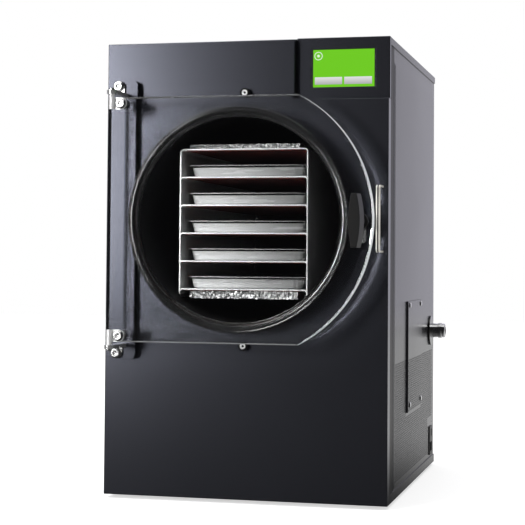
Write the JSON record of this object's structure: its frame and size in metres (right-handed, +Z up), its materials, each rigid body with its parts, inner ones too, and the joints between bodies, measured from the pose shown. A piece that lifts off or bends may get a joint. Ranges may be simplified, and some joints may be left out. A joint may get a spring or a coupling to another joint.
{
  "type": "freeze dryer",
  "caption": "Floor or bench standing freeze dryer with a gloss black steel cabinet, round vacuum chamber, stacked tray rack and clear hinged door.",
  "frame": {"origin": "on the floor under the middle of the cabinet's footprint, which is the centre of the four foot holes", "axes": "+X to the viewer's right, +Y from the door to the back, +Z up; the door is at -Y"},
  "size_m": [0.5434, 0.651, 0.73],
  "materials": {
    "panel_gloss_black": "high gloss powder coat",
    "panel_black": "satin powder coat",
    "frame_black": "satin",
    "screen_glass": "gloss, lit green",
    "rubber_black": "matte",
    "gasket_black": "smooth, slightly shiny",
    "chamber_dark": "satin",
    "foam": "closed-cell foam",
    "galvanised": "galvanised",
    "rack_steel": "satin stainless",
    "tray_steel": "bright stainless",
    "heater_red": "silicone mat",
    "foil": "crinkled foil",
    "acrylic_clear": "clear acrylic, polished",
    "bar_grey": "satin grey",
    "stainless": "fine brushed",
    "screw_dark": "dark finish",
    "plastic_black": "fine texture",
    "rocker_black": "gloss",
    "brass": "cast and turned",
    "lever_red": "dipped vinyl",
    "hose_clear": "reinforced vinyl",
    "compressor_black": "satin",
    "fins": "plain",
    "fan_white": "moulded"
  },
  "bodies": {
    "cabinet": {"access_cover": "panel_black", "access_cover_screws": "stainless", "back_panel": "panel_black", "bar_screws": "screw_dark", "base_pan": "panel_black", "bumper_rings": "rubber_black", "bumper_screws": "stainless", "cabinet_frame": "frame_black", "chamber_deck": "galvanised", "chamber_head": "chamber_dark", "chamber_saddles": "galvanised", "compressor": "compressor_black", "compressor_mounts": "rubber_black", "condenser": "fins", "display_housing": "panel_gloss_black", "door_gasket": "gasket_black", "drain_hose": "hose_clear", "drain_valve_body": "brass", "fan_motor": "frame_black", "fan_shroud": "galvanised", "foil_pad_bottom": "foil", "foil_pad_top": "foil", "front_panel": "panel_gloss_black", "heater_mats": "heater_red", "hinge_bar": "bar_grey", "hinge_brackets": "stainless", "hinge_pins": "stainless", "insulation_jacket": "foam", "left_side_panel": "panel_black", "port_grommet": "rubber_black", "power_inlet": "plastic_black", "rack_feet": "rubber_black", "right_side_panel": "panel_black", "rubber_feet": "rubber_black", "shelf_rack": "rack_steel", "strike": "stainless", "strike_nuts": "stainless", "top_cover": "panel_black", "touchscreen": "screen_glass", "tray_1": "tray_steel", "tray_2": "tray_steel", "tray_3": "tray_steel", "tray_4": "tray_steel", "tray_5": "tray_steel", "vacuum_chamber": "chamber_dark", "vacuum_fitting": "stainless", "vacuum_hose": "hose_clear"},
    "door": {"door_panel": "acrylic_clear", "hinge_leaves": "stainless", "leaf_screws": "screw_dark", "leaf_nuts": "stainless", "latch_bushing": "plastic_black", "latch_bushing_nut": "stainless"},
    "latch": {"latch_handle": "plastic_black", "latch_shaft": "stainless", "latch_cam": "stainless", "latch_nut": "stainless"},
    "rocker": {"power_rocker": "rocker_black"},
    "fan": {"condenser_fan": "fan_white"},
    "drain_lever": {"drain_valve_lever": "lever_red"}
  },
  "joints": [
    {"name": "door_hinge", "type": "hinge", "parent": "cabinet", "child": "door", "pos_m": [-0.197, -0.3386, 0.443], "axis": [0, 0, -1], "range_deg": [0, 165]},
    {"name": "latch_turn", "type": "hinge", "parent": "door", "child": "latch", "pos_m": [0.196, -0.34, 0.44], "axis": [0, -1, 0], "range_deg": [0, 90]},
    {"name": "power_switch", "type": "hinge", "parent": "cabinet", "child": "rocker", "pos_m": [0.2285, 0.2135, 0.066], "axis": [0, 0, -1], "range_deg": [0, 16]},
    {"name": "fan_spin", "type": "hinge", "parent": "cabinet", "child": "fan", "pos_m": [0.148, -0.0425, 0.1015], "axis": [1, 0, 0], "continuous": true},
    {"name": "drain_turn", "type": "hinge", "parent": "cabinet", "child": "drain_lever", "pos_m": [-0.25, 0.06, 0.272], "axis": [0, 0, -1], "range_deg": [0, 90]}
  ]
}
